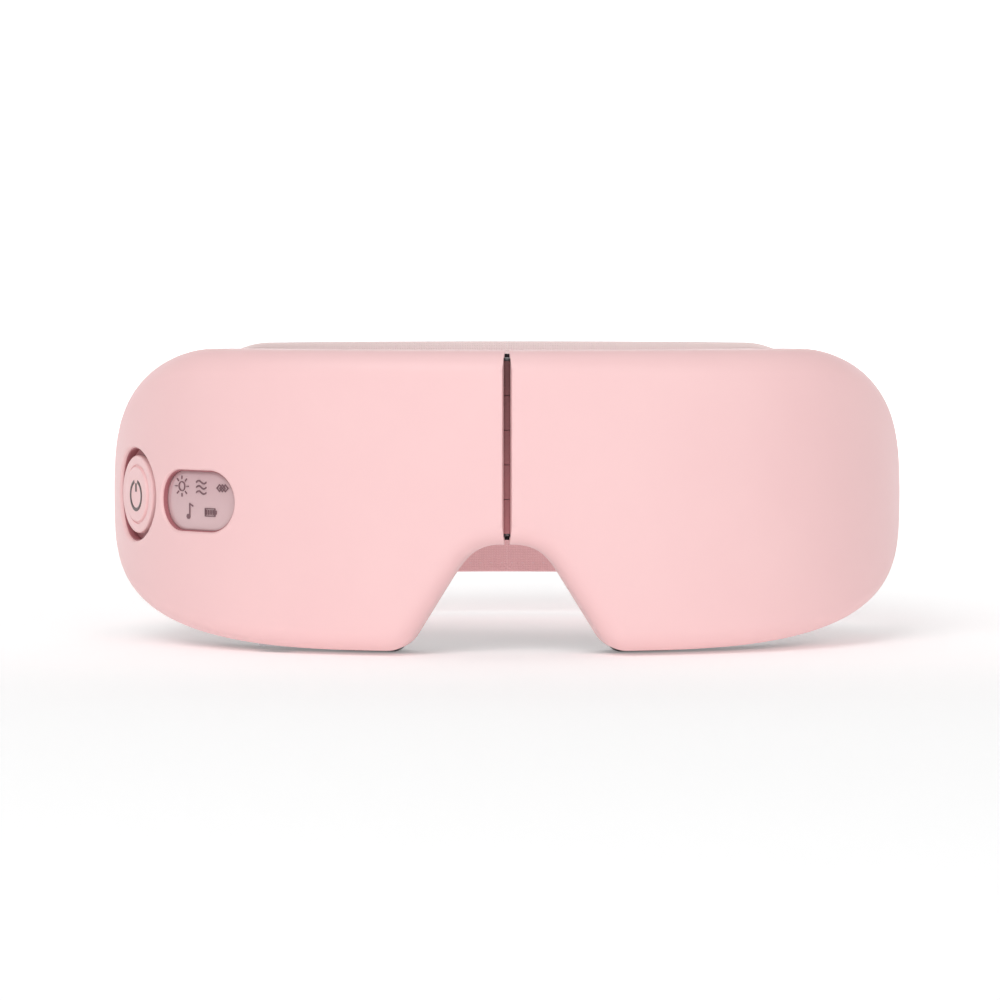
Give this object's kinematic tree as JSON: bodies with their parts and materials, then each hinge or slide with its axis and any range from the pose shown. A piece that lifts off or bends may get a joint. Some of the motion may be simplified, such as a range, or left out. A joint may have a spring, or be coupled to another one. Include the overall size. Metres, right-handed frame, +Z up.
{
  "type": "eye massager mask",
  "caption": "Foldable goggle-shaped eye massager with a centre hinge, cushioned eye openings, side power button, display window and elastic head strap.",
  "frame": {"origin": "under the middle of the whole object, mask and strap, on the surface that it stands on", "axes": "+X towards the wearer's left, +Y from the front of the mask to the back of the head, +Z up"},
  "size_m": [0.2116, 0.151, 0.0784],
  "materials": {
    "shell": "satin",
    "housing": "matte",
    "cushion": "soft grain",
    "lining": "fine weave",
    "air_bag": "matte",
    "heating_film": "satin",
    "hose": "satin",
    "speaker": "satin",
    "motor_steel": "satin",
    "weight": "machined",
    "hinge_plastic": "satin",
    "screw_steel": "satin",
    "port_steel": "satin",
    "strap_fabric": "fine knit",
    "circuit_board": "satin",
    "display_glass": "gloss",
    "icon_print": "matte",
    "battery_foil": "satin",
    "pump_plastic": "matte",
    "plunger_brass": "satin"
  },
  "bodies": {
    "right_half": {"right_outer_shell": "shell", "right_inner_housing": "housing", "right_face_pad": "cushion", "right_eye_airbag": "air_bag", "right_temple_airbag": "air_bag", "right_heating_film": "heating_film", "right_inner_lining": "lining", "right_air_hoses": "hose", "right_speaker": "speaker", "right_motor_can": "motor_steel", "right_hinge_leaf": "hinge_plastic", "right_hinge_screws": "screw_steel", "right_housing_screws": "screw_steel", "right_strap_anchor": "housing", "main_circuit_board": "circuit_board", "board_screws": "screw_steel", "display_window": "display_glass", "indicator_icons": "icon_print", "indicator_board": "circuit_board", "power_button_seat": "shell", "tact_switch": "motor_steel", "button_board": "circuit_board", "charging_port": "port_steel", "hinge_pin": "screw_steel", "nose_gusset": "lining", "crossover_hose": "hose", "crossover_ribbon": "heating_film"},
    "left_half": {"left_outer_shell": "shell", "left_inner_housing": "housing", "left_face_pad": "cushion", "left_eye_airbag": "air_bag", "left_temple_airbag": "air_bag", "left_heating_film": "heating_film", "left_inner_lining": "lining", "left_air_hoses": "hose", "left_speaker": "speaker", "left_motor_can": "motor_steel", "left_hinge_leaf": "hinge_plastic", "left_hinge_screws": "screw_steel", "left_housing_screws": "screw_steel", "left_strap_anchor": "housing", "battery_cell": "battery_foil", "battery_tray": "housing", "air_pump_motor": "motor_steel", "air_pump_head": "pump_plastic", "air_manifold": "pump_plastic", "solenoid_valve": "motor_steel", "valve_spring": "motor_steel"},
    "power_button": {"power_button_cap": "shell"},
    "right_vibration_weight": {"right_eccentric_weight": "weight"},
    "left_vibration_weight": {"left_eccentric_weight": "weight"},
    "pump_crank": {"pump_crank": "pump_plastic"},
    "valve_plunger": {"valve_plunger": "plunger_brass"},
    "right_strap": {"right_strap": "strap_fabric", "right_strap_tail": "strap_fabric"},
    "left_strap": {"left_strap": "strap_fabric", "left_strap_tail": "strap_fabric"}
  },
  "joints": [
    {"name": "fold", "type": "hinge", "parent": "right_half", "child": "left_half", "pos_m": [0, -0.0675, 0.0529], "axis": [0, 0, 1], "range_deg": [0, 96], "deforming": ["nose_gusset", "crossover_hose", "crossover_ribbon"]},
    {"name": "left_strap_swing", "type": "hinge", "parent": "left_half", "child": "left_strap", "pos_m": [0.09796, 0.0083, 0.0389], "axis": [0, 0, 1], "range_deg": [-103, 0]},
    {"name": "right_strap_swing", "type": "hinge", "parent": "right_half", "child": "right_strap", "pos_m": [-0.09796, 0.0083, 0.0389], "axis": [0, 0, 1], "range_deg": [0, 103]},
    {"name": "power_button_press", "type": "slide", "parent": "right_half", "child": "power_button", "axis": [0.8953, 0.4454, 0], "range_m": [0, 0.0006], "stiffness_N_per_m": 1500, "springref_m": -0.0006},
    {"name": "right_vibration_spin", "type": "hinge", "parent": "right_half", "child": "right_vibration_weight", "pos_m": [-0.07456, -0.04648, 0.0182], "axis": [0, 0, 1], "continuous": true},
    {"name": "left_vibration_spin", "type": "hinge", "parent": "left_half", "child": "left_vibration_weight", "pos_m": [0.07456, -0.04648, 0.0182], "axis": [0, 0, 1], "continuous": true},
    {"name": "pump_crank_spin", "type": "hinge", "parent": "left_half", "child": "pump_crank", "pos_m": [0.0695, -0.05023, 0.0519], "axis": [0, 0, 1], "continuous": true},
    {"name": "valve_plunger_slide", "type": "slide", "parent": "left_half", "child": "valve_plunger", "axis": [0, 0, -1], "range_m": [0, 0.0015], "stiffness_N_per_m": 300, "springref_m": -0.002, "deforming": ["valve_spring"]}
  ],
  "couplings": [
    {"joint": "left_strap_swing", "follows": "fold", "ratio": -1.07},
    {"joint": "right_strap_swing", "follows": "fold", "ratio": 1.07}
  ]
}
